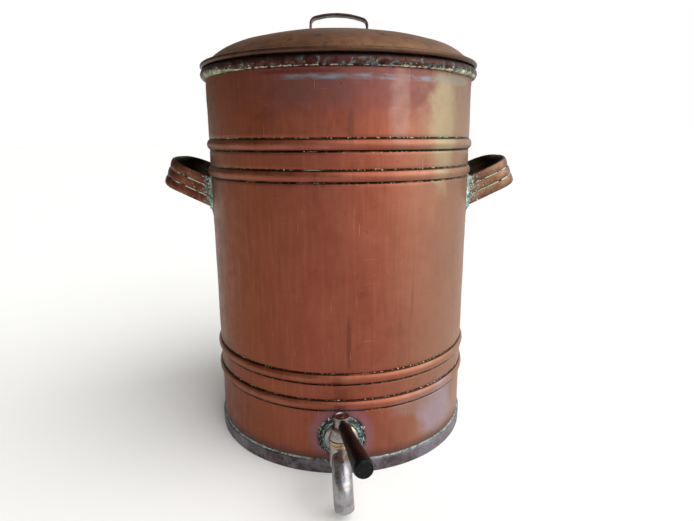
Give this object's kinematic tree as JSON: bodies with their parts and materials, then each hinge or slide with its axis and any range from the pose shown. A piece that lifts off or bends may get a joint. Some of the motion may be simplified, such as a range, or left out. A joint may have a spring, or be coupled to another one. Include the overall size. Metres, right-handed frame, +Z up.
{
  "type": "hot water urn",
  "caption": "Old copper hot-water urn with a lift-off domed lid, ribbed strap side handles and a plated plug tap with a black lever.",
  "frame": {"origin": "centre of the foot, on the floor", "axes": "+Z up along the drum's axis, the tap faces -Y, the side handles are near +X and -X"},
  "size_m": [0.4196, 0.4229, 0.4801],
  "materials": {
    "copper_wall": "aged satin copper",
    "copper_lid": "aged satin copper",
    "copper_dark": "tarnished copper",
    "copper_handle": "aged copper",
    "verdigris_solder": "crusted solder",
    "nickel_plate": "worn plating",
    "brass_fitting": "dull",
    "steel_wire": "dull",
    "ebonite": "scratched semi-gloss",
    "leather_washer": "matt"
  },
  "bodies": {
    "urn": {"body_shell": "copper_wall", "body_seam": "copper_wall", "rim_wire": "steel_wire", "base_pan": "copper_dark", "foot_band": "copper_dark", "handle_left": "copper_handle", "handle_right": "copper_handle", "solder_left": "verdigris_solder", "solder_right": "verdigris_solder", "tap_washer_outer": "leather_washer", "tap_body": "nickel_plate", "tap_spout": "nickel_plate", "spout_rivet": "nickel_plate", "tap_washer_inner": "leather_washer", "tap_backnut": "brass_fitting"},
    "tap_lever": {"tap_plug": "nickel_plate", "plug_washer": "brass_fitting", "plug_nut": "brass_fitting", "lever_screw": "steel_wire", "lever_tang": "steel_wire", "lever_grip": "ebonite"},
    "lid": {"lid_dome": "copper_lid", "lid_wire": "steel_wire", "lid_skirt": "copper_lid", "lid_handle": "copper_dark", "lid_rivets": "copper_dark"}
  },
  "joints": [
    {"name": "tap_turn", "type": "hinge", "parent": "urn", "child": "tap_lever", "pos_m": [0, -0.18, 0.042], "axis": [0, 0, 1], "range_deg": [-102, 78]},
    {"name": "lid_lift", "type": "slide", "parent": "urn", "child": "lid", "axis": [0, 0, 1], "range_m": [0, 0.35]}
  ]
}
